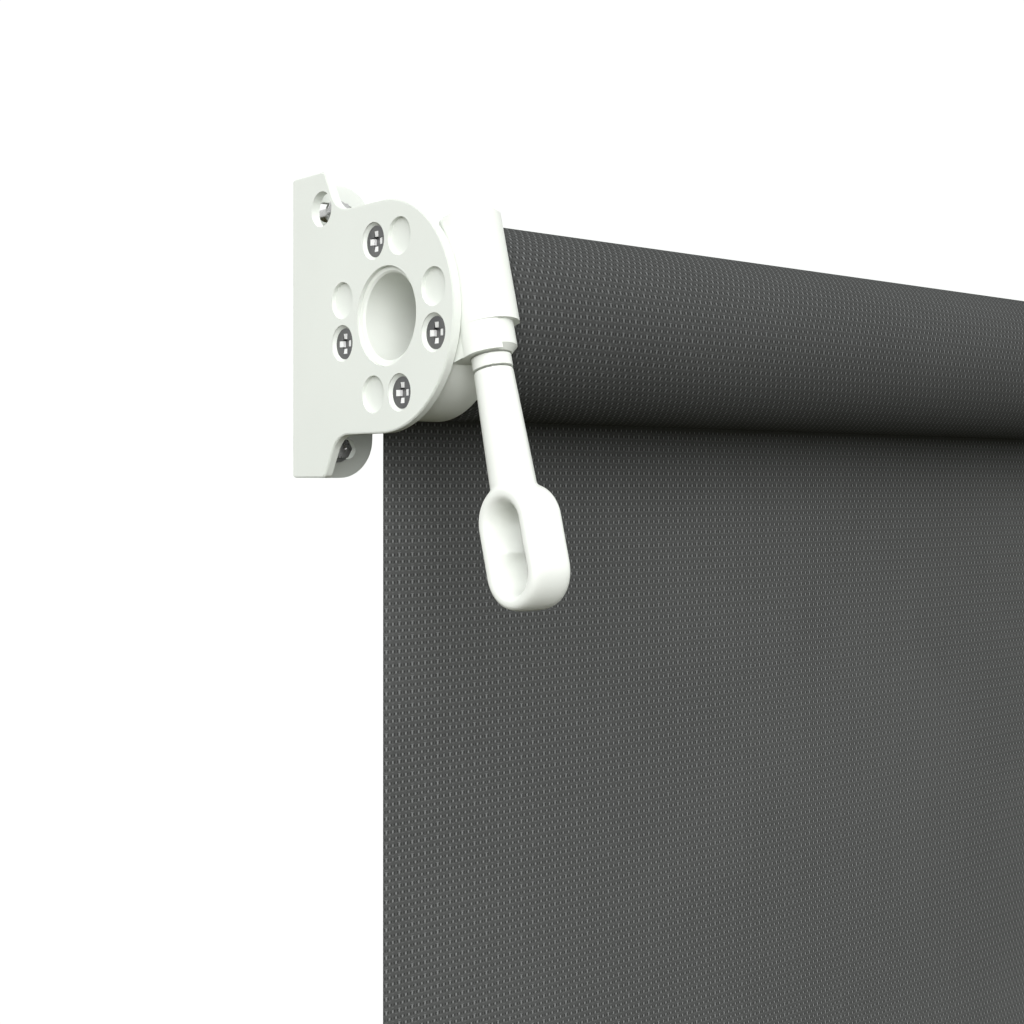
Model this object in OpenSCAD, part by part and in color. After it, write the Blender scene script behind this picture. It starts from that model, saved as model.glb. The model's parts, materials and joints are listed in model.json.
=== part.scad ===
// Crank-operated roller blind for a wall: two side brackets, a worm gearbox
// with a crank eye, a tube with a screen cloth, and a weighted hem bar.
// Millimetres. X runs along the roller from the gear side to the plain side,
// Y runs into the wall and Z is up. The origin is on the wall, in the middle of
// the four wall screws, so the brackets' backs lie on Y = 0.

/* [Blind] */
// Width over the outer faces of the two brackets
blind_w = 1000; // [800:10:1600]
// Length of cloth that hangs below the roller's axis
drop = 1000; // [600:10:1400]
// Distance from the bracket's outer face to the edge of the cloth
cloth_inset = 21.2; // [21:0.1:24]

/* [Brackets] */
// Thickness of the bracket plate and of its wall flange
plate_t = 3; // [2.5:0.5:3]
// Height of the bracket
plate_h = 96; // [94:1:110]
// Distance from the wall to the roller's axis
axis_y = 51.4; // [51:0.1:58]
// Radius of the plate's round nose
nose_r = 34.8; // [34:0.1:35]
// Radius of the hole in the plate's middle
hub_r = 15; // [15:0.1:15.4]
// Diameter of the circle that the eight screw places lie on
screw_pcd = 48; // [48:1:48]
// Width of the wall flange, from the plate's outer face
flange_w = 29.6; // [28:0.1:32]
// Height of a wall slot
slot_h = 6.5; // [5.5:0.1:7]
// Length of a wall slot, end to end
slot_l = 15.2; // [12:0.1:17]
// Vertical distance between the two wall slots
slot_pitch = 77; // [74:1:80]

/* [Gearbox] */
// Radius of the round gearbox
drum_r = 31; // [30:0.1:31.5]
// Distance from the roller's axis to the worm's axis
worm_dist = 30.6; // [30.6:0.1:30.6]
// Lean of the worm's axis, forward at the bottom
worm_lean = 15; // [10:1:16]
// Radius of the tunnel around the worm
tunnel_r = 9.2; // [9:0.1:9.2]
// Teeth on the worm wheel
wheel_teeth = 33; // [33:1:33]
// Threads on the worm
worm_starts = 3; // [3:1:3]

/* [Crank eye] */
// Length of the eye's stem
stem_l = 36.4; // [25:0.1:45]
// Width of the eye's loop
loop_w = 22.5; // [20:0.5:25]
// Length of the eye's loop
loop_l = 36; // [33:0.1:42]
// Thickness of the loop along its hole
loop_t = 14; // [11:0.5:15]

/* [Roller] */
// Radius of the tube
tube_r = 30; // [30:0.1:30]
// Thickness of the tube's wall
tube_wall = 1.5; // [1.2:0.1:1.6]
// Thickness of the cloth
cloth_t = 0.45; // [0.3:0.05:0.6]

/* [Hem bar] */
// Thickness of the hem bar
hem_t = 12; // [10:0.5:13]
// Height of the hem bar
hem_h = 32; // [28:1:40]

/* [Hidden] */
$fn = 96;

eps = 0.01;
play = 0.05;

// bracket
corner_y = 18.4;                    // depth of the plate's full-height part
slope_run = 7;                      // how far the sloped edge comes in
fillet_r = 9.5;                     // hollow corner below the sloped edge
nose_y = 2.2;                       // centre of the round nose, from the roller's axis
corner_r = 2;                       // rounding where the slope meets the top
bend_r = 1.2;
flange_corner = 13;
slope_foot = axis_y - corner_y - slope_run;
slope_a = atan2(slope_run, plate_h/2 - nose_r);
fillet_run = fillet_r*tan((90 - slope_a)/2);
slot_x = 15;
access_y = 34.6;
access_z = 36.4;
access_r = 5.65;
place_r = 5.7;                      // radius of each of the eight screw places
SCREW_A = [106, 196, 286, 344];     // measured from the front, upwards
BLIND_A = [16, 74, 164, 254];

// gearbox, along the roller from the plate's outer face
box_x0 = plate_t;
box_x1 = 20;
part_x = 11.3;                      // joint between the two halves
back_wall = 4.6;
front_wall = 3;
shell = 2.5;
spigot_r = hub_r - play;
spigot_bore = 13.1;
spigot_x1 = 26;
hub_end = 34;
hub_out = 20.5;
boss_r = 8.25;                      // lower boss around the worm's shaft
tongue_r = 8;
tunnel_lo = -13.5;
tunnel_hi = 19.4;
tunnel_x = 0.95;                    // the tunnel's middle, beyond the worm's axis
cavity_r = 7.2;
bush_r = 5.3;
boss_lo = -22.4;
tongue_lo = boss_lo;
tongue_x = -2;

// worm pair
wheel_pr = worm_dist - 5.85;
pitch = 2*PI*wheel_pr/wheel_teeth;
worm_pr = worm_dist - wheel_pr;
lead = pitch*worm_starts;
lead_a = atan(lead/(2*PI*worm_pr));
wheel_b = 5.6;
worm_l = 19;
worm_core = 3.5;

// crank eye, along the worm's axis, downwards negative
collar_hi = -22.8;
collar_lo = -26.2;
stem_lo = collar_lo - 0.4 - stem_l;
loop_mid = stem_lo - loop_l/2 + 3;
hole_w = 12;
hole_l = 25.4;
hole_mid = loop_mid - 0.5;
neck_end_r = 6.75;

// roller
roll_r = tube_r + play + cloth_t;
welt_at = 26.2;                     // distance of the welt's groove from the axis
welt_r = 2.4;
plug_r = tube_r - tube_wall - play;
plug_l = 38;

// bearing and idler
pin_r = 8.5;
race_in = 10.6;
race_out = 15.4;
ring_r = 17.5;
ball_r = 2.8;
ball_at = 13;
bearing_x = 27;
bearing_w = 10;

// hanging cloth and hem
sheet_y = roll_r + 0.3 + cloth_t/2;
sheet_lap = 3.2;
hem_mid = -drop - hem_h/2 + sheet_lap;
bar_w = blind_w - 2*cloth_inset;

// Frame of one end: X from the bracket's outer face, Y and Z from the roller's axis
module drive_end() translate([-blind_w/2, -axis_y, 0]) children();
module idler_end() mirror([1, 0, 0]) drive_end() children();

// A flat outline drawn in Y and Z, thickened along X
module slab(x0, t) translate([x0, 0, 0]) rotate([90, 0, 90]) linear_extrude(t) children();

// A round bar along X
module bar_x(x0, x1, r1, r2 = undef)
    translate([x0, 0, 0]) rotate([0, 90, 0])
        cylinder(h = x1 - x0, r1 = r1, r2 = is_undef(r2) ? r1 : r2);

// A ring along X
module ring_x(x0, x1, r_out, r_in) difference() {
    bar_x(x0, x1, r_out);
    bar_x(x0 - 1, x1 + 1, r_in);
}

// Places on the screw circle, for angles counted from the front, upwards
module on_circle(angles) for (a = angles)
    translate([0, -screw_pcd/2*cos(a), screw_pcd/2*sin(a)]) children();

// Frame of the worm: origin where it meets the wheel, Z up along its axis
module worm_frame() translate([part_x, -worm_dist*cos(worm_lean), worm_dist*sin(worm_lean)])
    rotate([-worm_lean, 0, 0]) children();

// ---- brackets ----

// Points of an arc, the ends included
function arc(c, r, a0, a1, n) = [for (i = [0:n]) let (a = a0 + (a1 - a0)*i/n)
    c + r*[cos(a), sin(a)]];

// Upper half of the plate's outline, drawn in by an inset, from the nose to the wall
function half_outline(inset) = concat(
    arc([nose_y, 0], nose_r - inset, 180, 90, 30),
    arc([slope_foot - fillet_run, nose_r + fillet_r], fillet_r + inset, 270, 360 - slope_a, 10),
    arc([slope_foot + (plate_h/2 - corner_r - nose_r)*tan(slope_a) + corner_r/cos(slope_a),
         plate_h/2 - corner_r], corner_r - inset, 180 - slope_a, 90, 5),
    arc([axis_y - bend_r, plate_h/2 - bend_r], bend_r - inset, 90, 0, 4));

// Whole outline, anticlockwise from the nose by way of the lower edge
function whole_outline(inset) =
    let (half = half_outline(inset), n = len(half))
    concat([for (i = [0:n - 1]) [half[i][0], -half[i][1]]], [for (i = [n - 1:-1:1]) half[i]]);

function flange_outline(inset) =
    let (r = flange_corner - inset, x = flange_w - flange_corner, z = plate_h/2 - flange_corner)
    concat([[1, inset - plate_h/2]], arc([x, -z], r, 270, 360, 12), arc([x, z], r, 0, 90, 12),
           [[1, plate_h/2 - inset]]);

// Depth below a face and how far the outline is drawn in there, for a softly broken edge
EDGE_STEPS = [[0, 0.42], [0.16, 0.16], [0.45, 0]];

// A hole along X, turned from a profile of radius against depth
module turned(profile) rotate([0, 90, 0]) rotate_extrude()
    polygon([for (p = profile) [p[0], p[1]]]);

module screw_place() turned([[0, -1], [place_r, -1], [place_r, 0.4], [3.2, place_r - 2.8],
                             [3.2, plate_t + 1], [0, plate_t + 1]]);

// Round recess with a hollow floor, for a screw place that isn't drilled
module blind_place() {
    deep = 0.4;
    ball = (place_r*place_r + deep*deep)/(2*deep);
    turned(concat([[0, -1], [place_r, -1], [place_r, 1.3]],
                  [for (i = [9:-1:0]) let (r = place_r*i/10)
                      [r, 1.3 + deep - ball + sqrt(ball*ball - r*r)]]));
}

module wall_slot() rotate([-90, 0, 0]) {
    for (s = [-1, 1]) translate([s*(slot_l - slot_h)/2, 0, -1])
        cylinder(h = plate_t + 2, r = slot_h/2);
    translate([-(slot_l - slot_h)/2, -slot_h/2, -1])
        cube([slot_l - slot_h, slot_h, plate_t + 2]);
}

module bracket() difference() {
    union() for (e = EDGE_STEPS) {
        slab(e[0], plate_t - 2*e[0]) polygon(whole_outline(e[1]));
        translate([0, axis_y - e[0], 0]) rotate([90, 0, 0])
            linear_extrude(plate_t - 2*e[0]) polygon(flange_outline(e[1]));
    }
    bar_x(-1, plate_t + 1, hub_r);
    on_circle(SCREW_A) screw_place();
    on_circle(BLIND_A) blind_place();
    translate([0, access_y, access_z]) bar_x(-1, plate_t + 1, access_r);
    for (s = [-1, 1]) translate([slot_x, axis_y - plate_t, s*slot_pitch/2]) wall_slot();
}

// Flanged hex screw in the middle of a slot, its shank standing out of the wall side
module wall_screw() rotate([-90, 0, 0]) {
    translate([0, 0, -1.1]) cylinder(h = 1.1, r = 4.4);
    difference() {
        translate([0, 0, -4.2]) cylinder(h = 3.2, r = 3.35, $fn = 6);
        translate([0, 0, -5]) cylinder(h = 1.4, r = 1.2);
    }
    cylinder(h = plate_t, r = 2.8);
    cylinder(h = plate_t + 14, r = 2.4);
    translate([0, 0, plate_t + 14]) cylinder(h = 3.5, r1 = 2.4, r2 = 0.5);
}

module wall_screws() for (s = [-1, 1])
    translate([slot_x, axis_y - plate_t, s*slot_pitch/2]) wall_screw();

// Countersunk cross-head screw along X, its head just below the plate's face
module countersunk_screw() {
    head_x = 1.2;
    head_r = place_r - (head_x - 0.4) - 0.15;
    arm = 2.2;
    difference() {
        union() {
            bar_x(head_x, head_x + head_r - 2.9, head_r, 2.9);
            bar_x(head_x + 1, box_x0 + back_wall - 0.6, 2.9);
        }
        for (a = [0, 90]) rotate([a, 0, 0])
            translate([head_x - 1, -head_r*0.66, -arm/2]) cube([2.3, head_r*1.32, arm]);
    }
}

module drive_bracket() color("white") drive_end() bracket();
module drive_wall_screws() color("silver") drive_end() wall_screws();
module drive_gear_screws() color("dimgray") drive_end() on_circle(SCREW_A) countersunk_screw();
module idler_bracket() color("white") idler_end() bracket();
module idler_wall_screws() color("silver") idler_end() wall_screws();
module idler_support_screws() color("dimgray") idler_end() on_circle(SCREW_A)
    countersunk_screw();

// ---- gearbox ----

// Everything between two planes across the roller
module between(x0, x1) translate([x0, -60, -60]) cube([x1 - x0, 120, 120]);

module case_lugs() for (s = [-1, 1])
    translate([0, 25.5, s*24.5]) bar_x(box_x0, box_x1, 4.6);

module case_outside() {
    bar_x(box_x0, box_x1, drum_r);
    case_lugs();
    worm_frame() translate([tunnel_x, 0, tunnel_lo])
        cylinder(h = tunnel_hi - tunnel_lo, r = tunnel_r);
}

module case_inside() {
    bar_x(box_x0 + back_wall, box_x1 - front_wall, drum_r - shell);
    worm_frame() {
        translate([0, 0, tunnel_lo - 4]) cylinder(h = 12, r = bush_r);
        translate([0, 0, tunnel_lo + 2]) cylinder(h = tunnel_hi - tunnel_lo - 4, r = cavity_r);
        translate([0, 0, boss_lo - 1]) cylinder(h = 10, r = 4.6);
    }
}

module case_screw_holes(r) for (s = [-1, 1])
    translate([0, 25.5, s*24.5]) bar_x(box_x0 + 1, box_x1 + 1, r);

module case_screw_heads() for (s = [-1, 1])
    translate([0, 25.5, s*24.5]) bar_x(box_x1 - 2.5, box_x1 + 1, 3);

// Lower boss of the body, with a web that joins it to the drum
module body_boss() worm_frame() {
    intersection() {
        translate([0, 0, boss_lo]) cylinder(h = tunnel_lo - boss_lo + 1, r = boss_r);
        translate([-12, -12, boss_lo - 1]) cube([12 + tongue_x, 24, 20]);
    }
    translate([-7.9, -1, boss_lo + 0.2])
        cube([7.9 + tongue_x - 0.3, 9.6, tunnel_lo - boss_lo + 0.6]);
}

module cover_tongue() worm_frame() intersection() {
    union() {
        translate([0, 0, tongue_lo]) cylinder(h = 1.8, r1 = tongue_r - 1.8, r2 = tongue_r);
        translate([0, 0, tongue_lo + 1.7]) cylinder(h = tunnel_lo - tongue_lo - 0.7, r = tongue_r);
    }
    union() {
        translate([tongue_x, -12, tongue_lo - 1]) cube([12, 24, tunnel_lo - tongue_lo + 0.9]);
        translate([play, -12, tongue_lo - 1]) cube([12, 24, 20]);
    }
}

module gearbox_body() color("white") drive_end() {
    difference() {
        union() {
            intersection() {
                case_outside();
                between(box_x0, part_x);
            }
            intersection() {
                body_boss();
                between(box_x0, part_x);
            }
            bar_x(1.3, spigot_x1, spigot_r);
        }
        difference() {
            case_inside();
            bar_x(0, spigot_x1, spigot_r);
        }
        bar_x(-1, spigot_x1 + 1, spigot_bore);
        bar_x(1.3 - eps, 1.9, spigot_bore + 0.6, spigot_bore);
        on_circle(SCREW_A) bar_x(0, box_x0 + back_wall - 0.5, 2.9 + play);
        case_screw_holes(1.6);
    }
}

module gearbox_cover() color("white") drive_end() difference() {
    union() {
        intersection() {
            case_outside();
            between(part_x, box_x1);
        }
        difference() {
            cover_tongue();
            bar_x(box_x0, part_x, drum_r + play);
        }
    }
    case_inside();
    bar_x(part_x, box_x1 + 1, hub_out + 0.2);
    case_screw_holes(1.8);
    case_screw_heads();
}

module gearbox_case_screws() color("dimgray") drive_end() for (s = [-1, 1])
    translate([0, 25.5, s*24.5]) {
        difference() {
            bar_x(box_x1 - 2.4, box_x1 - 0.6, 2.9);
            bar_x(box_x1 - 1.6, box_x1, 1.4, $fn = 6);
        }
        bar_x(box_x0 + 2, box_x1 - 2.3, 1.5);
    }

// Wheel tooth as a trapezium: half widths at the root and at the tip
function tooth_points(n, root, tip, root_w, tip_w) = [
    for (i = [0:n - 1]) for (k = [0:3])
        let (a = 360*i/n, r = k == 0 || k == 3 ? root : tip,
             w = (k == 0 || k == 3 ? root_w : tip_w)*(k < 2 ? -1 : 1),
             b = a + w/r*180/PI)
        [r*cos(b), r*sin(b)]];

module wheel_rim() translate([part_x, 0, 0]) rotate([180 - worm_lean, 0, 0]) rotate([90, 0, 90])
    rotate([0, 0, 180/wheel_teeth])
        linear_extrude(wheel_b, center = true, slices = 4,
                       twist = -wheel_b*tan(lead_a)/wheel_pr*180/PI)
            polygon(tooth_points(wheel_teeth, wheel_pr - 1.6, wheel_pr + 0.9, 1, 0.35));

module worm_wheel() color("gold") drive_end() difference() {
    union() {
        wheel_rim();
        bar_x(box_x0 + back_wall + 0.3, box_x1 - 0.1, hub_out);
        bar_x(box_x1 - 0.2, hub_end, 19.8, $fn = 8);
    }
    bar_x(0, hub_end + 1, hub_r);
}

// Radius of the worm's section at an angle: one raised lobe for each thread
function lobe(a) =
    let (part = 360/worm_starts, off = abs(((a + part/2) % part) - part/2)/part*pitch)
    off < 0.25 ? worm_pr + 1 : off > 1.15 ? worm_pr - 1.4
        : worm_pr + 1 - 2.4*(off - 0.25)/0.9;

module worm() color("gray") drive_end() worm_frame() {
    rotate([0, 0, 90]) linear_extrude(worm_l, center = true, slices = 28,
                                      twist = -360*worm_l/lead)
        polygon([for (a = [0:12:348]) lobe(a)*[cos(a), sin(a)]]);
    translate([0, 0, -worm_l/2]) rotate([180, 0, 0]) cylinder(h = 3.4, r = worm_core + 0.5);
    translate([0, 0, collar_lo + 1]) cylinder(h = -worm_l/2 - collar_lo - 1, r = worm_core);
    translate([0, 0, worm_l/2 - eps]) cylinder(h = 7.6, r = worm_core);
}

module upper_worm_bush() color("khaki") drive_end() worm_frame() difference() {
    translate([0, 0, 11.4]) cylinder(h = 5.8, r = cavity_r - 0.05);
    translate([0, 0, 10]) cylinder(h = 20, r = worm_core + play);
}

module lower_worm_bush() color("khaki") drive_end() worm_frame() difference() {
    translate([0, 0, tunnel_lo - 3.9]) cylinder(h = 4.4, r = bush_r - 0.05);
    translate([0, 0, -30]) cylinder(h = 20, r = worm_core + play);
}

// ---- crank eye ----

module shaft_collar() color("white") drive_end() worm_frame() difference() {
    union() {
        translate([0, 0, collar_lo]) cylinder(h = collar_hi - collar_lo, r = 5.8);
        translate([0, 0, collar_lo + 1]) cylinder(h = 6.4, r = 4.3);
    }
    translate([0, 0, collar_lo - 1]) cylinder(h = 10, r = worm_core + play);
}

// A disc across the loop with a full round edge
module loop_disc(z, w) translate([0, 0, z]) rotate([0, 90, 0]) rotate_extrude($fn = 40) {
    edge_r = 4;
    translate([w/2 - edge_r, loop_t/2 - edge_r]) circle(r = edge_r, $fn = 32);
    translate([w/2 - edge_r, edge_r - loop_t/2]) circle(r = edge_r, $fn = 32);
    translate([0, -loop_t/2]) square([w/2 - edge_r, loop_t]);
    translate([0, edge_r - loop_t/2]) square([w/2, loop_t - 2*edge_r]);
}

module crank_eye() color("white") drive_end() worm_frame() difference() {
    union() {
        translate([0, 0, stem_lo - 3]) cylinder(h = stem_l + 3, r1 = neck_end_r, r2 = 5.7);
        hull() {
            loop_disc(loop_mid + (loop_l - loop_w)/2, loop_w);
            loop_disc(loop_mid - (loop_l - loop_w)/2, loop_w);
        }
    }
    for (s = [-1, 1]) translate([-20, 0, hole_mid + s*(hole_l - hole_w)/2]) rotate([0, 90, 0])
        cylinder(h = 40, r = hole_w/2);
    translate([-20, -hole_w/2, hole_mid - (hole_l - hole_w)/2])
        cube([40, hole_w, hole_l - hole_w]);
    translate([0, 0, collar_lo - 12]) cylinder(h = 20, r = 2.5 + play);
    translate([0, -3.6, collar_lo - 8]) rotate([-90, 0, 0]) cylinder(h = 20, r = 1.25 + play);
}

module eye_pin() color("silver") drive_end() worm_frame() {
    translate([0, -3.4, collar_lo - 8]) rotate([-90, 0, 0]) cylinder(h = 8.6, r = 1.25);
    translate([0, 0, collar_lo - 11]) cylinder(h = 11, r = 2.5);
}

// ---- roller ----

module welt_place() rotate([45, 0, 0]) translate([0, 0, welt_at]) children();

module tube_adapter() color("dimgray") drive_end() difference() {
    union() {
        bar_x(box_x1 + 0.35, cloth_inset - 0.05, 28.8);
        bar_x(cloth_inset - 0.1, cloth_inset + plug_l, plug_r);
    }
    bar_x(box_x1, hub_end + 0.5, 19.8 + play, $fn = 8);
    bar_x(hub_end, cloth_inset + plug_l + 1, 15);
    welt_place() bar_x(cloth_inset - 0.05, 100, 4);
}

module tube() color("silver") translate([0, -axis_y, 0]) difference() {
    bar_x(-bar_w/2, bar_w/2, tube_r);
    difference() {
        bar_x(-bar_w, bar_w, tube_r - tube_wall);
        welt_place() bar_x(-bar_w - 1, bar_w + 1, welt_r + 1.2);
    }
    welt_place() {
        bar_x(-bar_w, bar_w, welt_r);
        translate([-bar_w, -0.7, 0]) cube([2*bar_w, 1.4, 10]);
    }
}

module tube_welt_rod() color("white") translate([0, -axis_y, 0]) welt_place()
    bar_x(-bar_w/2 + 2, bar_w/2 - 2, welt_r - 0.3);

module cloth_roll() color("darkslategray") translate([0, -axis_y, 0])
    ring_x(-bar_w/2, bar_w/2, roll_r, tube_r + play);

// ---- plain end ----

module idler_cap() color("dimgray") idler_end() difference() {
    union() {
        bar_x(cloth_inset - 1, cloth_inset - 0.05, 28.8);
        bar_x(cloth_inset - 0.1, cloth_inset + plug_l, plug_r);
    }
    bar_x(0, bearing_x, 12);
    bar_x(bearing_x - play, 60, ring_r + play/2);
    welt_place() bar_x(cloth_inset - 0.05, 100, 4);
}

module race_ring(r_out, r_in) difference() {
    ring_x(bearing_x, bearing_x + bearing_w, r_out, r_in);
    translate([bearing_x + bearing_w/2, 0, 0]) rotate([0, 90, 0]) rotate_extrude()
        translate([ball_at, 0]) circle(r = ball_r + play, $fn = 48);
}

module bearing_outer_ring() color("silver") idler_end() race_ring(ring_r, race_out);
module bearing_inner_ring() color("silver") idler_end() race_ring(race_in, pin_r + 0.02);

module ball_places() for (a = [0:45:315]) rotate([a, 0, 0])
    translate([bearing_x + bearing_w/2, 0, ball_at]) children();

module bearing_balls() color("silver") idler_end() ball_places() sphere(r = ball_r, $fn = 48);

module bearing_cage() color("peru") idler_end() difference() {
    ring_x(bearing_x + 1.2, bearing_x + bearing_w - 1.2, ball_at + 0.7, ball_at - 0.7);
    ball_places() sphere(r = ball_r + play, $fn = 48);
}

module bearing_clip() color("dimgray") idler_end() difference() {
    ring_x(bearing_x + bearing_w + 0.1, bearing_x + bearing_w + 1.2, 11, 7.9);
    translate([0, -2, -20]) cube([80, 4, 20]);
}

module idler_support() color("white") idler_end() difference() {
    union() {
        bar_x(0.4, 4, hub_r - play);
        bar_x(box_x0, box_x0 + back_wall, drum_r);
        bar_x(box_x0, bearing_x - 0.1, 11);
        bar_x(box_x0, bearing_x + bearing_w + 3, pin_r);
    }
    on_circle(SCREW_A) bar_x(0, box_x0 + back_wall - 0.5, 2.9 + play);
    ring_x(bearing_x + bearing_w + play, bearing_x + bearing_w + 1.3, 12, 7.85);
    bar_x(0, 2, spigot_r - 0.1, spigot_bore);
}

// ---- hanging cloth and hem ----

module hem_place() translate([0, sheet_y - axis_y, hem_mid]) children();

// Flat bar section with round top and bottom
module hem_section(grow) {
    r = hem_t/2 + grow;
    for (s = [-1, 1]) translate([0, s*(hem_h - hem_t)/2]) circle(r = r);
    translate([-r, -(hem_h - hem_t)/2]) square([2*r, hem_h - hem_t]);
}

module cloth_sheet() color("darkslategray")
    translate([-bar_w/2, sheet_y - cloth_t/2 - axis_y, -drop])
        cube([bar_w, cloth_t, drop]);

module hem_bar() color("silver") hem_place() slab(-bar_w/2 + 2, bar_w - 4) difference() {
    hem_section(0);
    difference() {
        hem_section(-1.3);
        translate([0, hem_h/2 - 4.5]) circle(r = 3.4);
    }
    translate([0, hem_h/2 - 4.5]) circle(r = 2.2);
    translate([-0.6, hem_h/2 - 4.5]) square([1.2, 10]);
}

module hem_welt_rod() color("white") hem_place() translate([0, 0, hem_h/2 - 4.9])
    bar_x(-bar_w/2 + 3, bar_w/2 - 3, 1.5);

module hem_ballast_rod() color("gray") hem_place() translate([0, 0, -hem_h/2 + 5.5])
    bar_x(-bar_w/2 + 8, bar_w/2 - 8, 4);

module hem_cap() {
    hem_place() slab(-bar_w/2, 2) difference() {
        hem_section(0);
        translate([-0.6, hem_h/2 - 4.5]) square([1.2, 10]);
    }
    hem_place() slab(-bar_w/2 + 1.9, 5.1) intersection() {
        hem_section(-1.4);
        translate([-10, -8]) square([20, 14]);
    }
}

module hem_cap_left() color("gray") hem_cap();
module hem_cap_right() color("gray") mirror([1, 0, 0]) hem_cap();

drive_bracket();
drive_wall_screws();
drive_gear_screws();
gearbox_body();
gearbox_cover();
gearbox_case_screws();
worm_wheel();
worm();
upper_worm_bush();
lower_worm_bush();
shaft_collar();
crank_eye();
eye_pin();
tube_adapter();
tube();
tube_welt_rod();
cloth_roll();
idler_cap();
bearing_outer_ring();
bearing_balls();
bearing_cage();
bearing_inner_ring();
bearing_clip();
idler_support();
idler_support_screws();
idler_bracket();
idler_wall_screws();
cloth_sheet();
hem_bar();
hem_welt_rod();
hem_ballast_rod();
hem_cap_left();
hem_cap_right();
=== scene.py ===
"""Finish of a crank-driven roller blind: coats, metals, the woven cloth and the crank's eye.

Everything is in metres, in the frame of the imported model: X runs along the roller,
Y goes into the wall and Z points up. The origin is in the middle of the wall screws.
"""
import json
import math

import bmesh
import bpy
import numpy as np
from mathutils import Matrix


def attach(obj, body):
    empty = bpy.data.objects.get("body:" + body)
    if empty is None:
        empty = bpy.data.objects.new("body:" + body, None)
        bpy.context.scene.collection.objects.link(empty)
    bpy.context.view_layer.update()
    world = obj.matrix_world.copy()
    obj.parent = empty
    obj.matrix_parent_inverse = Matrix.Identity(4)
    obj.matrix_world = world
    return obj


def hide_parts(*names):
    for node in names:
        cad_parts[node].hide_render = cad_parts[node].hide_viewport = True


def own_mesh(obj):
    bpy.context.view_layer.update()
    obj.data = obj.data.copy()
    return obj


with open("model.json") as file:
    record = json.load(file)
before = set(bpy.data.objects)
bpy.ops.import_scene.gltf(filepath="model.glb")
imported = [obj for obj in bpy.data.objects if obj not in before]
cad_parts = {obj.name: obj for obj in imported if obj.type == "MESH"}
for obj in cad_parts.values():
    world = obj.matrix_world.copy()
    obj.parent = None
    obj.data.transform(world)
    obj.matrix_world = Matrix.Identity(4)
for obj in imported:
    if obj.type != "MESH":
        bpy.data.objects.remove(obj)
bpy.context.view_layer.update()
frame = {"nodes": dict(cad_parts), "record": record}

MM = 0.001

# ---- sizes shared with the frame ----
ROLL_AXIS_Y = -51.4 * MM
ROLL_MID_R = 30.25 * MM
CLOTH_HALF_W = 478.8 * MM
CLOTH_T = 0.42 * MM
DROP = 1000.0 * MM
SHEET_TOP_Y = -20.66 * MM
SHEET_FOOT_Y = -20.38 * MM

# The crank's own axis: a point on it, its upward direction and its outward one
CRANK_AT = np.array([-488.7, -80.957, 7.920]) * MM
CRANK_LEAN = math.radians(15)
CRANK_UP = np.array([0.0, math.sin(CRANK_LEAN), math.cos(CRANK_LEAN)])
CRANK_SIDE = np.array([0.0, math.cos(CRANK_LEAN), -math.sin(CRANK_LEAN)])

# Distances between threads of the weave, across and down the cloth, and the first ones
THREAD_X = 2.61 * MM
THREAD_Z = 4.47 * MM
FIRST_THREAD_X = 1.15 * MM
FIRST_THREAD_Z = 0.8 * MM


# ---- camera ----

def set_camera():
    """Level camera on the crank side, in front of the wall, a little below the roller."""
    at = (-0.76865, -0.42481, -0.05010)
    towards_x, towards_y = 0.6483, 0.7614
    lens = bpy.data.cameras.new("front_corner_camera")
    lens.lens = 54.19
    lens.sensor_width = 36.0
    lens.shift_y = -0.02705
    lens.clip_start = 0.01
    lens.clip_end = 60.0
    stand = bpy.data.objects.new("front_corner_camera", lens)
    stand.location = at
    stand.rotation_euler = (math.radians(90), 0.0, -math.atan2(towards_x, towards_y))
    bpy.context.scene.collection.objects.link(stand)
    bpy.context.scene.camera = stand


# ---- node trees ----

class NodeWork:
    """A node tree under work."""

    def __init__(self, tree):
        self.tree = tree

    def node(self, kind, inputs=None, **settings):
        """New node with its settings, and its inputs given as values or as outputs."""
        made = self.tree.nodes.new(kind)
        for key, value in settings.items():
            setattr(made, key, value)
        for socket, value in (inputs or {}).items():
            self.feed(made.inputs[socket], value)
        return made

    def feed(self, socket, value):
        """Links an output to a socket, or sets the socket to a constant."""
        if isinstance(value, bpy.types.NodeSocket):
            self.tree.links.new(value, socket)
        else:
            socket.default_value = value

    def place(self):
        """The point on the piece in metres."""
        return self.node("ShaderNodeTexCoord").outputs["Object"]

    def ramp(self, value, low, high, to_low=0.0, to_high=1.0):
        """Value eased from one range to another, held at both ends."""
        return self.node("ShaderNodeMapRange",
                         {"Value": value, "From Min": low, "From Max": high,
                          "To Min": to_low, "To Max": to_high},
                         interpolation_type="SMOOTHSTEP").outputs[0]

    def colours(self, factor, a, b):
        """Blend of two colours."""
        return self.node("ShaderNodeMix", {"Factor": factor, "A": a, "B": b},
                         data_type="RGBA").outputs["Result"]


def rgb(r, g, b):
    """An opaque colour."""
    return (r, g, b, 1.0)


# ---- light, backdrop and floor ----

def set_sky():
    """White light from the upper half, a dim warm grey from the lower half."""
    world = bpy.data.worlds.new("white_room")
    bpy.context.scene.world = world
    world.use_nodes = True
    sky = NodeWork(world.node_tree)
    sky.tree.nodes.clear()
    direction = sky.node("ShaderNodeTexCoord").outputs["Generated"]
    height = sky.node("ShaderNodeSeparateXYZ", {0: direction}).outputs["Z"]
    shade, light = rgb(0.07, 0.07, 0.038), rgb(1.03, 1.05, 1.03)
    colour = sky.colours(sky.ramp(height, -0.13, -0.03), shade, light)
    sky.node("ShaderNodeOutputWorld",
             {0: sky.node("ShaderNodeBackground", {"Color": colour}).outputs[0]})


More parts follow.
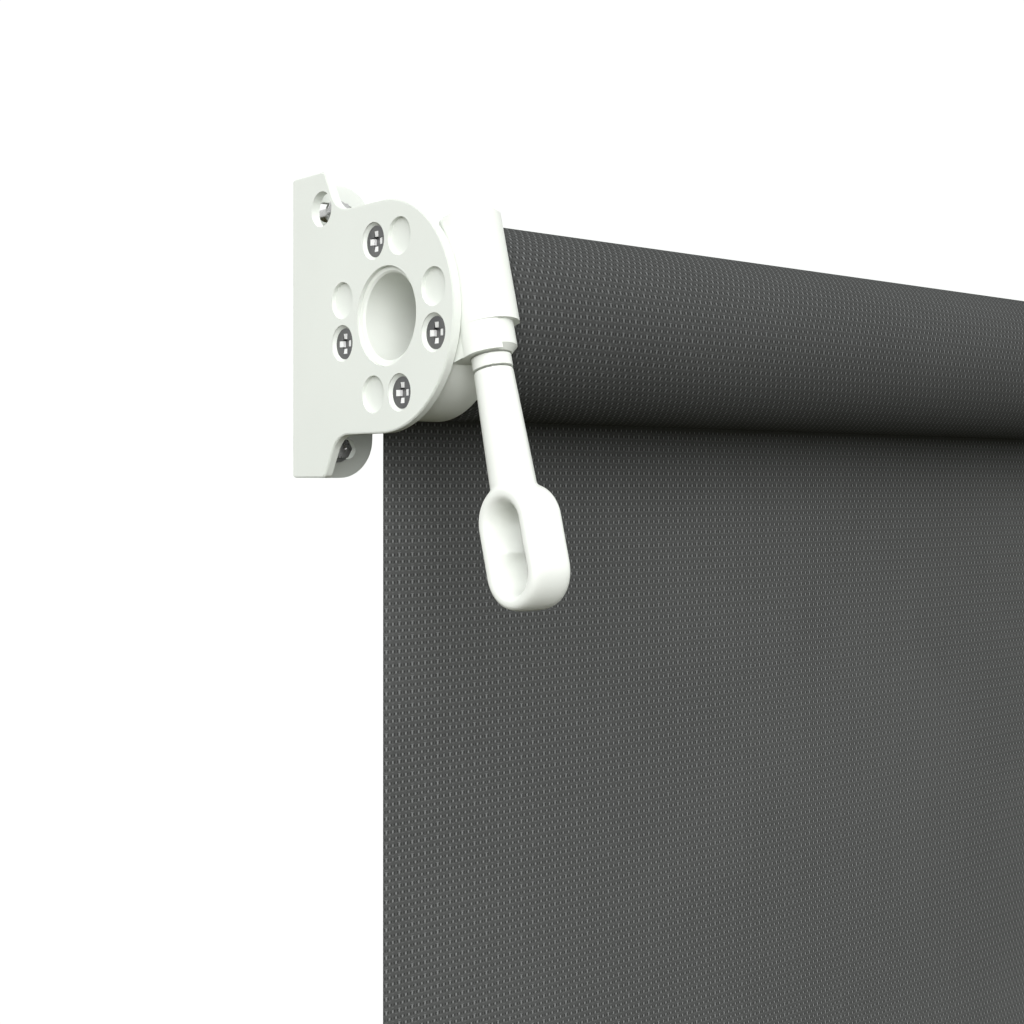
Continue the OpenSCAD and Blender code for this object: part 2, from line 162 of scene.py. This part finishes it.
def hang_softbox(name, at, towards, size, watts):
    """Square soft light that stands at one point and faces another."""
    lamp = bpy.data.lights.new(name, "AREA")
    lamp.shape = "SQUARE"
    lamp.size = size
    lamp.energy = watts
    stand = bpy.data.objects.new(name, lamp)
    stand.location = at
    reach = np.array(towards, float) - np.array(at, float)
    turn = math.atan2(reach[0], reach[1])
    tilt = math.atan2(reach[2], math.hypot(reach[0], reach[1]))
    stand.rotation_euler = (math.radians(90) + tilt, 0.0, -turn)
    bpy.context.scene.collection.objects.link(stand)


def lay_floor():
    """Pale floor under the blind that turns to plain white far out.

    The grid's lines lie at a power of their number, close together near the blind.
    """
    height, half_size = -1.10, 44.0
    line = np.linspace(-1.0, 1.0, 61)
    line = np.sign(line) * np.abs(line) ** 2.4 * half_size
    points = np.stack(np.broadcast_arrays(line[None, :], line[:, None], height), -1)
    floor = put_surface("pale_floor", points)
    mat = bpy.data.materials.new("pale_floor")
    mat.use_nodes = True
    paint = NodeWork(mat.node_tree)
    paint.tree.nodes.clear()
    near = paint.node("ShaderNodeBsdfDiffuse", {"Color": rgb(0.86, 0.86, 0.85)})
    far = paint.node("ShaderNodeEmission", {"Color": rgb(1, 1, 1), "Strength": 1.05})
    reach = paint.node("ShaderNodeVectorMath", {0: paint.place()}, operation="LENGTH")
    share = paint.ramp(reach.outputs["Value"], 1.1, 2.1)
    mix = paint.node("ShaderNodeMixShader", {0: share, 1: near.outputs[0], 2: far.outputs[0]})
    paint.node("ShaderNodeOutputMaterial", {0: mix.outputs[0]})
    floor.data.materials.append(mat)
    floor.visible_diffuse = False
    floor.visible_glossy = False


# ---- surfaces ----

def put_surface(name, points, around=False, along=False, chart=None):
    """Mesh of a grid of points of shape (rows, columns, 3).

    Each cell of the grid is one face. The columns meet again if around is true, and the
    rows if along is true. chart holds a flat position for every corner of the grid, with
    one more row or column where the grid closes on itself.
    """
    rows, columns = points.shape[:2]
    i = np.arange(rows if along else rows - 1)[:, None]
    j = np.arange(columns if around else columns - 1)[None, :]
    corners = np.stack([
        (i % rows) * columns + j % columns,
        (i % rows) * columns + (j + 1) % columns,
        ((i + 1) % rows) * columns + (j + 1) % columns,
        ((i + 1) % rows) * columns + j % columns], -1).reshape(-1, 4)
    mesh = bpy.data.meshes.new(name)
    mesh.vertices.add(rows * columns)
    mesh.vertices.foreach_set("co", points.reshape(-1).astype(np.float32))
    mesh.loops.add(corners.size)
    mesh.loops.foreach_set("vertex_index", corners.reshape(-1).astype(np.int32))
    mesh.polygons.add(len(corners))
    mesh.polygons.foreach_set("loop_start", np.arange(0, corners.size, 4, dtype=np.int32))
    mesh.update(calc_edges=True)
    mesh.polygons.foreach_set("use_smooth", np.full(len(corners), True))
    if chart is not None:
        flat = np.stack([chart[i, j], chart[i, j + 1], chart[i + 1, j + 1],
                         chart[i + 1, j]], 2)
        layer = mesh.uv_layers.new(name="thread_chart")
        layer.data.foreach_set("uv", flat.reshape(-1).astype(np.float32))
    mesh.validate()
    return put_piece(name, mesh)


def put_piece(name, mesh):
    """A piece made of a mesh, in the scene."""
    piece = bpy.data.objects.new(name, mesh)
    bpy.context.scene.collection.objects.link(piece)
    return piece


def finish_modifier(piece, kind, **settings):
    """Adds a modifier to a piece and bakes it into the piece's mesh."""
    tool = piece.modifiers.new(kind.lower(), kind)
    for key, value in settings.items():
        setattr(tool, key, value)
    bpy.context.view_layer.update()
    made = bpy.data.meshes.new_from_object(
        piece.evaluated_get(bpy.context.evaluated_depsgraph_get()))
    old = piece.data
    piece.modifiers.clear()
    piece.data = made
    bpy.data.meshes.remove(old)


def close_ends(piece):
    """Closes every open edge loop of a piece and turns all faces outwards."""
    b = bmesh.new()
    b.from_mesh(piece.data)
    bmesh.ops.remove_doubles(b, verts=b.verts, dist=1e-7)
    edges = [e for e in b.edges if e.is_boundary]
    if edges:
        bmesh.ops.holes_fill(b, edges=edges)
    bmesh.ops.recalc_face_normals(b, faces=b.faces)
    b.to_mesh(piece.data)
    b.free()


def fuse(name, skins, cell, rounds):
    """One skin round several closed ones, made of cells of one size and then evened out."""
    both = bmesh.new()
    for skin in skins:
        close_ends(skin)
        both.from_mesh(skin.data)
        bpy.data.objects.remove(skin)
    mesh = bpy.data.meshes.new(name)
    both.to_mesh(mesh)
    both.free()
    piece = put_piece(name, mesh)
    finish_modifier(piece, "REMESH", mode="VOXEL", voxel_size=cell, use_smooth_shade=True)
    finish_modifier(piece, "SMOOTH", factor=0.5, iterations=rounds)
    piece.data.polygons.foreach_set("use_smooth", np.full(len(piece.data.polygons), True))
    return piece


# ---- materials ----

class Finish(NodeWork):
    """A material under work: its node tree and its one surface shader."""

    def __init__(self, name, **constants):
        self.material = bpy.data.materials.new(name)
        self.material.use_nodes = True
        super().__init__(self.material.node_tree)
        self.shader = self.tree.nodes["Principled BSDF"]
        for socket, value in constants.items():
            self.shader.inputs[socket.replace("_", " ")].default_value = value

    def sum(self, operation, a, b):
        """One step of arithmetic."""
        return self.node("ShaderNodeMath", {0: a, 1: b}, operation=operation).outputs[0]

    def most(self, *values):
        """The largest of several values."""
        largest = values[0]
        for value in values[1:]:
            largest = self.sum("MAXIMUM", largest, value)
        return largest

    def stretch(self, vector, scale):
        """The same point with each axis scaled."""
        return self.node("ShaderNodeMapping", {"Vector": vector, "Scale": scale}).outputs[0]

    def cloud(self, vector, scale, detail=2.0, roughness=0.5):
        """Soft random value around a half, with features of about 1/scale metres."""
        return self.node("ShaderNodeTexNoise", {"Vector": vector, "Scale": scale,
                         "Detail": detail, "Roughness": roughness}).outputs["Fac"]

    def relief(self, height, distance, strength=1.0):
        """Bump of the surface by a height between nought and one."""
        bump = self.node("ShaderNodeBump", {"Height": height, "Distance": distance,
                                            "Strength": strength})
        self.paint("Normal", bump.outputs[0])

    def paint(self, socket, value):
        """Gives the surface shader one of its inputs."""
        self.feed(self.shader.inputs[socket], value)


def coat(name, light, dark, gloss, peel):
    """Sprayed coat on metal: a fine rounded skin, soft patches of lighter and darker colour
    and of gloss.
    """
    f = Finish(name, Specular_IOR_Level=0.42)
    at = f.place()
    patches = f.cloud(at, 22.0, 3.0)
    f.paint("Base Color", f.colours(f.ramp(patches, 0.35, 0.65, 0.0, 1.0), dark, light))
    smear = f.cloud(f.stretch(at, (1.0, 1.0, 0.3)), 160.0, 4.0, 0.6)
    f.paint("Roughness", f.ramp(smear, 0.3, 0.7, gloss - 0.05, gloss + 0.06))
    f.relief(f.cloud(at, 1100.0, 2.0, 0.45), peel)
    return f.material


def moulding(name, light, dark, gloss, grain):
    """Moulded plastic: even colour with faint flow marks and a very fine skin."""
    f = Finish(name, Specular_IOR_Level=0.5)
    at = f.place()
    flow = f.cloud(f.stretch(at, (1.0, 0.6, 0.35)), 60.0, 3.0, 0.55)
    f.paint("Base Color", f.colours(f.ramp(flow, 0.35, 0.65, 0.0, 1.0), dark, light))
    f.paint("Roughness", f.ramp(f.cloud(at, 240.0, 3.0), 0.3, 0.7, gloss - 0.04, gloss + 0.05))
    f.relief(f.cloud(at, 2600.0, 2.0, 0.5), grain)
    return f.material


def worked_metal(name, light, dark, gloss, along, bare=1.0):
    """Bare metal with tool marks drawn out along one direction and dull patches."""
    f = Finish(name, Metallic=bare)
    at = f.place()
    drawn = f.cloud(f.stretch(at, along), 900.0, 3.0, 0.6)
    dull = f.cloud(at, 130.0, 4.0, 0.6)
    f.paint("Base Color", f.colours(f.ramp(dull, 0.3, 0.7, 0.0, 1.0), dark, light))
    f.paint("Roughness", f.sum("ADD", f.ramp(dull, 0.3, 0.7, gloss, gloss + 0.12),
                               f.ramp(drawn, 0.3, 0.7, -0.05, 0.05)))
    f.relief(drawn, 0.012 * MM)
    return f.material


def screen_weave(name, chart, painted_light):
    """Coated yarn woven as a sun screen.

    Measured in thread spaces, a = across / THREAD_X and b = down / THREAD_Z. Every whole b
    carries a row of short floats at whole a. Every half b carries a row at half a, in which
    each second float is longer and has a cross thread at its head. Beside each float lie
    two small dark gaps, and a thin level thread shows between the rows. The last argument
    scales every yarn colour alike. It is painted light, used to paint the hanging part of
    the cloth lighter than its rolled part.
    """
    f = Finish(name, Specular_IOR_Level=0.0)
    if chart:
        at = f.node("ShaderNodeUVMap", uv_map="thread_chart").outputs[0]
        parts = f.node("ShaderNodeSeparateXYZ", {0: at})
        across, down = parts.outputs[0], parts.outputs[1]
    else:
        parts = f.node("ShaderNodeSeparateXYZ", {0: f.place()})
        across, down = parts.outputs[0], parts.outputs[2]
    a = f.sum("DIVIDE", f.sum("SUBTRACT", across, FIRST_THREAD_X), THREAD_X)
    b = f.sum("DIVIDE", f.sum("SUBTRACT", down, FIRST_THREAD_Z), THREAD_Z)

    def off(value, shift, step):
        """Distance from the nearest of the lines that lie step apart, starting at shift."""
        return f.sum("PINGPONG", f.sum("SUBTRACT", value, shift), step / 2)

    def bar(u, v, half_u, half_v, soft):
        """One where u < half_u and v < half_v, falling to nought over soft."""
        return f.sum("MULTIPLY", f.ramp(u, half_u - soft, half_u + soft, 1.0, 0.0),
                     f.ramp(v, half_v - soft, half_v + soft, 1.0, 0.0))

    a0, a1, b0, b1 = off(a, 0.0, 1.0), off(a, 0.5, 1.0), off(b, 0.0, 1.0), off(b, 0.5, 1.0)
    even = off(a, 0.5, 2.0)
    short_float = bar(a0, b0, 0.10, 0.088, 0.055)
    odd_float = bar(a1, b1, 0.10, 0.10, 0.055)
    long_float = f.sum("MULTIPLY", bar(even, b1, 0.085, 0.165, 0.05), 0.7)
    head = f.sum("MULTIPLY", bar(even, off(b, 0.645, 1.0), 0.22, 0.03, 0.03), 0.55)
    floats = f.most(short_float, odd_float, long_float, head)
    gaps = f.most(*[bar(off(a, at, 1.0), b0, 0.085, 0.085, 0.05) for at in (0.28, 0.72)],
                  *[bar(off(a, at, 1.0), b1, 0.085, 0.10, 0.05) for at in (0.78, 0.22)])
    level = f.most(bar(a1, off(b, 0.80, 1.0), 0.20, 0.026, 0.02),
                   bar(a0, off(b, 0.32, 1.0), 0.20, 0.026, 0.02))

    lint = f.cloud(f.stretch(f.place(), (1.0, 1.0, 0.25)), 700.0, 3.0, 0.6)
    dye = f.cloud(f.place(), 9.0, 4.0, 0.6)

    def grey(r, g, b):
        """A yarn colour scaled by this cloth's factor of painted light."""
        return rgb(r * painted_light, g * painted_light, b * painted_light)

    yarn = f.colours(f.ramp(dye, 0.3, 0.7, 0.0, 1.0), grey(0.0605, 0.0617, 0.0611),
                     grey(0.068, 0.0693, 0.0687))
    yarn = f.colours(f.ramp(lint, 0.35, 0.75, 0.0, 0.22), yarn, grey(0.078, 0.080, 0.080))
    yarn = f.colours(f.sum("MULTIPLY", level, 0.6), yarn, grey(0.13, 0.133, 0.132))
    yarn = f.colours(f.sum("MULTIPLY", gaps, 0.8), yarn, grey(0.022, 0.0225, 0.022))
    yarn = f.colours(floats, yarn, grey(0.182, 0.186, 0.188))
    f.paint("Base Color", yarn)
    f.paint("Roughness", f.ramp(lint, 0.3, 0.7, 0.56, 0.70))
    height = f.sum("ADD", f.sum("MULTIPLY", floats, 0.5),
                   f.sum("SUBTRACT", 0.5, f.sum("MULTIPLY", gaps, 0.5)))
    f.relief(height, 0.16 * MM, 0.8)
    return f.material


# Name of each finish: lighter and darker colour, roughness, height of the skin's grain
COATS = {
    "white_coat": (rgb(0.80, 0.828, 0.785), rgb(0.782, 0.81, 0.767), 0.46, 0.020 * MM),
    "white_case": (rgb(0.86, 0.885, 0.84), rgb(0.84, 0.865, 0.82), 0.40, 0.014 * MM),
    "white_bar": (rgb(0.86, 0.89, 0.85), rgb(0.84, 0.87, 0.83), 0.44, 0.020 * MM),
}
MOULDINGS = {
    "white_eye": (rgb(0.87, 0.89, 0.85), rgb(0.85, 0.87, 0.83), 0.34, 0.003 * MM),
    "white_cap": (rgb(0.86, 0.88, 0.84), rgb(0.84, 0.86, 0.82), 0.42, 0.004 * MM),
    "bush_plastic": (rgb(0.72, 0.68, 0.55), rgb(0.66, 0.62, 0.49), 0.45, 0.004 * MM),
    "black_plastic": (rgb(0.055, 0.055, 0.06), rgb(0.04, 0.04, 0.045), 0.42, 0.006 * MM),
    "welt_plastic": (rgb(0.75, 0.75, 0.74), rgb(0.68, 0.68, 0.67), 0.45, 0.004 * MM),
}
# The last entry squeezes the tool marks along each axis
METALS = {
    "zinc_steel": (rgb(0.66, 0.66, 0.66), rgb(0.50, 0.50, 0.50), 0.26, (1, 6, 1)),
    "dark_steel": (rgb(0.20, 0.20, 0.20), rgb(0.13, 0.13, 0.135), 0.34, (1, 4, 4)),
    "bronze": (rgb(0.70, 0.48, 0.22), rgb(0.55, 0.36, 0.16), 0.30, (5, 1, 1)),
    "gear_steel": (rgb(0.52, 0.52, 0.53), rgb(0.36, 0.36, 0.37), 0.28, (1, 1, 6)),
    "bearing_steel": (rgb(0.68, 0.68, 0.69), rgb(0.58, 0.58, 0.59), 0.16, (6, 1, 1)),
    "cage_brass": (rgb(0.74, 0.55, 0.26), rgb(0.62, 0.44, 0.2), 0.28, (6, 1, 1)),
    "tube_aluminium": (rgb(0.74, 0.75, 0.76), rgb(0.62, 0.63, 0.64), 0.32, (0.1, 5, 5)),
}
FINISHES = {name: make(name, *values)
            for make, table in ((coat, COATS), (moulding, MOULDINGS), (worked_metal, METALS))
            for name, values in table.items()}


def dress_frame():
    """Every frame piece gets the finish of its own material slot."""
    slots = {s["node"]: s["material_slot"] for s in frame["record"]["subparts"]}
    for name, piece in frame["nodes"].items():
        finish = FINISHES.get(slots[name])
        if finish is not None:
            piece.data.materials.clear()
            piece.data.materials.append(finish)


# ---- cloth ----

def hang_sheet():
    """The hanging cloth.

    Each point stands at (x, z) on the flat cut. Its depth runs straight from the back of
    the roll to the hem bar, plus two shallow waves across the cloth that die out towards
    both ends of the drop.
    """
    x = np.linspace(-CLOTH_HALF_W, CLOTH_HALF_W, 241)[None, :]
    z = np.linspace(0.0, -DROP, 201)[:, None]
    down = -z / DROP
    slack = np.sin(math.pi * down) ** 2
    across = x / CLOTH_HALF_W
    wave = (0.05 * np.sin(5.3 * across + 0.7) + 0.02 * np.sin(11.9 * across + 4.0 * down)) * MM
    y = SHEET_TOP_Y + (SHEET_FOOT_Y - SHEET_TOP_Y) * down + slack * wave
    points = np.stack(np.broadcast_arrays(x, y, z), -1)
    sheet = put_surface("hanging_cloth", points[:, ::-1])
    finish_modifier(sheet, "SOLIDIFY", thickness=CLOTH_T, offset=0.0)
    # The hanging part is painted 1.32 times lighter than the rolled part of the same cloth.
    # This is painted light for the light that shines through the hanging cloth and falls on
    # it.
    sheet.data.materials.append(screen_weave("screen_weave_hanging_painted_lighter", chart=False, painted_light=1.32))
    return sheet


def wind_roll():
    """The wrap of cloth on the tube.

    Round the tube the angle runs once about; the radius is even. The chart unrolls the
    wrap: its second number is the length of cloth from the back of the roll, stretched a
    little so that a whole number of thread rows fits round.
    """
    turn = np.linspace(0, 2 * math.pi, 193)
    x = np.linspace(-CLOTH_HALF_W, CLOTH_HALF_W, 61)[:, None]
    y = ROLL_AXIS_Y + ROLL_MID_R * np.cos(turn[:-1])[None, :]
    z = -ROLL_MID_R * np.sin(turn[:-1])[None, :]
    points = np.stack(np.broadcast_arrays(x, y, z), -1)
    rows = round(2 * math.pi * ROLL_MID_R / THREAD_Z)
    length = turn[None, :] / (2 * math.pi) * rows * THREAD_Z
    chart = np.stack(np.broadcast_arrays(x, length), -1)
    roll = put_surface("rolled_cloth", points[::-1], around=True, chart=chart[::-1])
    finish_modifier(roll, "SOLIDIFY", thickness=CLOTH_T, offset=0.0)
    roll.data.materials.append(screen_weave("screen_weave_rolled", chart=True, painted_light=1.0))
    return roll


# ---- crank eye ----

def oblong(half_w, half_l, mid):
    """Points round an oblong with round ends, in (side, up)."""
    arc = np.linspace(0, math.pi, 41)[:-1]
    run = np.linspace(1, -1, 25)[:-1]
    ends = half_l - half_w
    straight = np.full(len(run), half_w)
    side = np.concatenate([half_w * np.cos(arc), -straight, -half_w * np.cos(arc), straight])
    up = np.concatenate([ends + half_w * np.sin(arc), ends * run,
                         -ends - half_w * np.sin(arc), -ends * run])
    return np.stack([side, up + mid], -1)


def crank_point(across, side, up):
    """Place of a point given along X, sideways and up the crank, in millimetres."""
    return (CRANK_AT + MM * (across[..., None] * np.array([1.0, 0, 0])
            + side[..., None] * CRANK_SIDE + up[..., None] * CRANK_UP))


def mould_eye():
    """The crank's eye in one smooth moulding.

    The ring of the eye is a rounded section carried round two oblongs, the hole's and the
    outer one. Round the section the angle v runs once about: the depth is the half
    thickness times a power of sin v, the place between the hole and the outside follows a
    power of cos v. Half way down its two long sides the hole is drawn in by an ellipse's
    sagitta, so that an upper and a lower hollow, whose middles lie hollow_up above and
    below the hole's, meet in a ridge; the drawing in fades towards both faces. The stem is
    a turned profile of heights and radii that enters the ring. The two closed skins are
    fused and evened out. Lengths are in millimetres.
    """
    half_t = 6.97
    hole_half_w, hole_half_l, hole_mid = 6.0, 12.7, -78.5
    hollow_up = 5.42
    hole = oblong(hole_half_w, hole_half_l, hole_mid)
    rim = oblong(11.22, 17.96, -78.0)
    v = np.linspace(0, 2 * math.pi, 65)[:-1][None, :]
    outward = np.cos(v) > 0
    power = np.where(outward, 2 / 3.4, 2 / 2.7)
    depth = half_t * np.sign(np.sin(v)) * np.abs(np.sin(v)) ** power
    share = 0.5 + 0.5 * np.sign(np.cos(v)) * np.abs(np.cos(v)) ** power
    point = hole[:, None, :] + share[..., None] * (rim - hole)[:, None, :]
    near = np.abs(hole[:, 1] - hole_mid) - hollow_up
    near = np.minimum(0.0, near / (hole_half_l - hollow_up))
    draw = hole_half_w * (1 - np.sqrt(1 - near ** 2)) * np.sign(hole[:, 0])
    point[..., 0] -= draw[:, None] * np.clip(1 - 2 * share, 0, 1) * (1 - (depth / half_t) ** 2)
    ring = put_surface("crank_eye_ring",
                       crank_point(np.broadcast_to(depth, point.shape[:2]),
                                   point[..., 0], point[..., 1]),
                       around=True, along=True)

    turn = np.linspace(0, 2 * math.pi, 73)[:-1][None, :]
    profile = np.array([[-26.62, 0.01], [-26.62, 5.3], [-26.75, 5.58], [-27.1, 5.72],
                        [-40, 6.08], [-52, 6.42], [-60, 6.62], [-63.6, 6.5], [-63.9, 6.0],
                        [-63.9, 0.01]])
    up, out = profile[:, :1], profile[:, 1:]
    stem = put_surface("crank_eye_stem",
                       crank_point(out * np.cos(turn), out * np.sin(turn),
                                   np.broadcast_to(up, (len(up), turn.size))), around=True)
    fused = fuse("crank_eye_moulding", [ring, stem], cell=0.42 * MM, rounds=7)
    fused.data.materials.append(FINISHES["white_eye"])
    return fused


# ---- screws ----

def line_recesses():
    """Faces in the cross recesses of the eight screws in the side plates, painted near white
    as a painted highlight.

    Each arm of a recess holds one wedge: a face that falls from the head's rim to the
    middle, on a small closed body. One wedge is worked out, turned to the four arms, moved
    to the four screws and mirrored to the far plate. Lengths are in millimetres, depths
    run in from the plate's outer face and angles from the front upwards.
    """
    plate_face_x, circle_r = 500.0, 24.0
    screws = np.radians([106.0, 196.0, 286.0, 344.0])[:, None, None]
    near, far, half_w = 1.5, 3.1, 0.94
    near_depth, far_depth, floor_depth = 1.55, 1.25, 2.47
    depth = np.array([near_depth, near_depth, far_depth, far_depth] + [floor_depth] * 4)
    out = np.array([near, near, far, far] * 2)
    side = np.array([-half_w, half_w, half_w, -half_w] * 2)
    arms = np.radians([0.0, 90.0, 180.0, 270.0])[:, None]
    front = out * np.cos(arms) - side * np.sin(arms)
    up = out * np.sin(arms) + side * np.cos(arms)
    y = ROLL_AXIS_Y / MM - front - circle_r * np.cos(screws)
    z = up + circle_r * np.sin(screws)
    x = np.broadcast_to(plate_face_x - depth, y.shape)
    sides = [np.stack([end * x, y, z], -1).reshape(-1, 3) for end in (-1, 1)]
    points = np.concatenate(sides) * MM
    box = np.array([[0, 1, 2, 3], [7, 6, 5, 4], [0, 4, 5, 1], [1, 5, 6, 2], [2, 6, 7, 3],
                    [3, 7, 4, 0]])
    faces = box + len(depth) * np.arange(len(points) // len(depth))[:, None, None]
    mesh = bpy.data.meshes.new("screw_recesses")
    mesh.from_pydata(points.tolist(), [], faces.reshape(-1, 4).tolist())
    piece = put_piece("screw_recesses", mesh)
    close_ends(piece)
    # The wedges are near-white steel with little metal in it, so they look bright from every
    # side. This is a painted highlight for the glint of the recess faces.
    piece.data.materials.append(worked_metal("recess_highlight_steel", rgb(0.93, 0.93, 0.93),
                                             rgb(0.88, 0.88, 0.88), 0.4, (1, 4, 4), bare=0.2))
    return piece


# ---- assembly ----

bpy.context.scene.view_settings.view_transform = "Standard"
set_camera()
set_sky()
hang_softbox("front_softbox", at=(-2.35, -2.45, 0.80), towards=(-0.2, 0.0, -0.3), size=2.2,
             watts=80)
lay_floor()
dress_frame()

sheet = hang_sheet()
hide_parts("cloth_sheet")
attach(sheet, "hem")
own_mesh(sheet)

roll = wind_roll()
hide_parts("cloth_roll")
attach(roll, "roller")

eye = mould_eye()
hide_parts("crank_eye")
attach(eye, "crank")

recesses = line_recesses()
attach(recesses, "frame")
